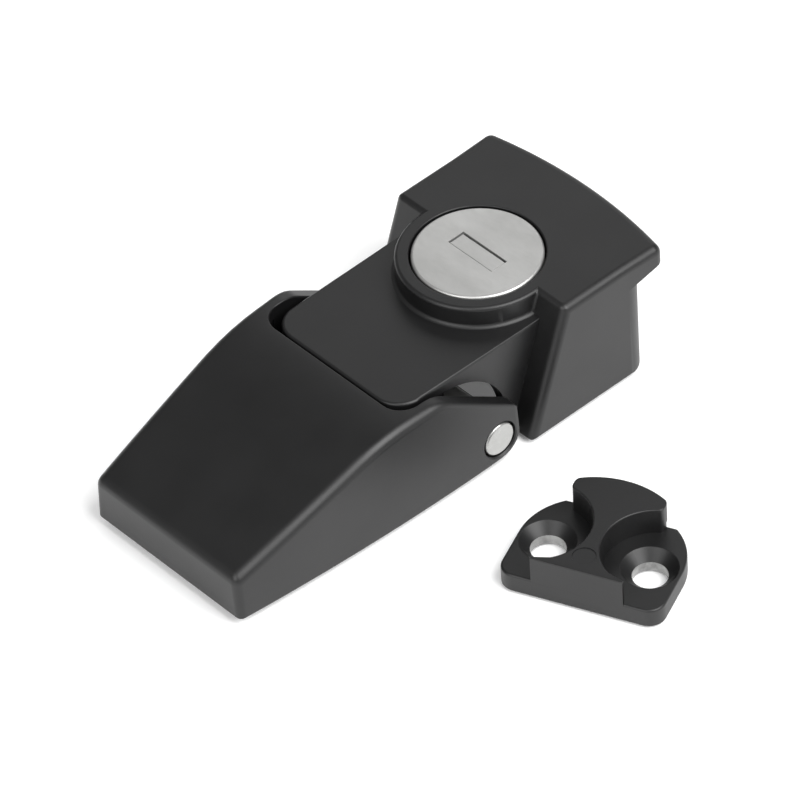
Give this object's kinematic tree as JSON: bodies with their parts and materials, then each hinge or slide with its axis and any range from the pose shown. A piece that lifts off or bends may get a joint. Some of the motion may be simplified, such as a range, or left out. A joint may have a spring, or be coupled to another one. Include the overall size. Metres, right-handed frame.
{
  "type": "locking draw latch",
  "caption": "Key-locking over-centre draw latch: tapered black lever, hood that covers its catch, lock in the hood, and a loose hooked keeper plate.",
  "frame": {"origin": "centre of the base's four screw holes, on the panel face that the base and the keeper lie on", "axes": "+X from the lever's free tip to the hood, +Y across the latch away from the loose keeper, +Z away from the panel"},
  "size_m": [0.0982, 0.0892, 0.0254],
  "materials": {
    "black_coat": "satin black powder coat on die-cast zinc",
    "cap_steel": "machined steel with fine scuffs",
    "pin_steel": "ground steel",
    "plated_steel": "zinc-plated steel",
    "spring_steel": "drawn spring wire",
    "bare_zinc": "bare die-cast zinc",
    "wafer_brass": "stamped brass",
    "seal_rubber": "moulded rubber"
  },
  "bodies": {
    "base": {"base_plate": "black_coat", "pivot_pin": "pin_steel", "keeper": "black_coat"},
    "lever": {"lever": "black_coat", "link_pin": "pin_steel"},
    "head": {"draw_head": "black_coat", "lock_sleeve": "bare_zinc", "sleeve_screw": "pin_steel"},
    "plug": {"lock_plug": "bare_zinc", "plug_cap": "cap_steel", "shutter_pin": "pin_steel", "shutter_spring": "spring_steel", "wafer_1": "wafer_brass", "wafer_2": "wafer_brass", "wafer_3": "wafer_brass", "wafer_4": "wafer_brass", "wafer_springs": "spring_steel", "seal_ring": "seal_rubber", "plug_clip": "spring_steel", "lock_cam": "plated_steel", "cam_washer": "plated_steel", "cam_screw": "plated_steel"},
    "shutter": {"key_shutter": "cap_steel"}
  },
  "joints": [
    {"name": "lever_hinge", "type": "hinge", "parent": "base", "child": "lever", "pos_m": [0.0338, 0, 0.0057], "axis": [0, 1, 0], "range_deg": [0, 65]},
    {"name": "head_hinge", "type": "hinge", "parent": "lever", "child": "head", "pos_m": [0.0245, 0, 0.0042], "axis": [0, 1, 0], "range_deg": [-55.3, 0]},
    {"name": "plug_turn", "type": "hinge", "parent": "head", "child": "plug", "pos_m": [0.0492, 0, 0.0254], "axis": [0, 0, 1], "range_deg": [0, 90]},
    {"name": "shutter_hinge", "type": "hinge", "parent": "plug", "child": "shutter", "pos_m": [0.05125, 0, 0.02395], "axis": [0, -1, 0], "range_deg": [0, 80], "stiffness_Nm_per_rad": 0.0005, "springref_deg": -28.65}
  ],
  "couplings": [
    {"joint": "head_hinge", "follows": "lever_hinge", "ratio": -0.85}
  ]
}
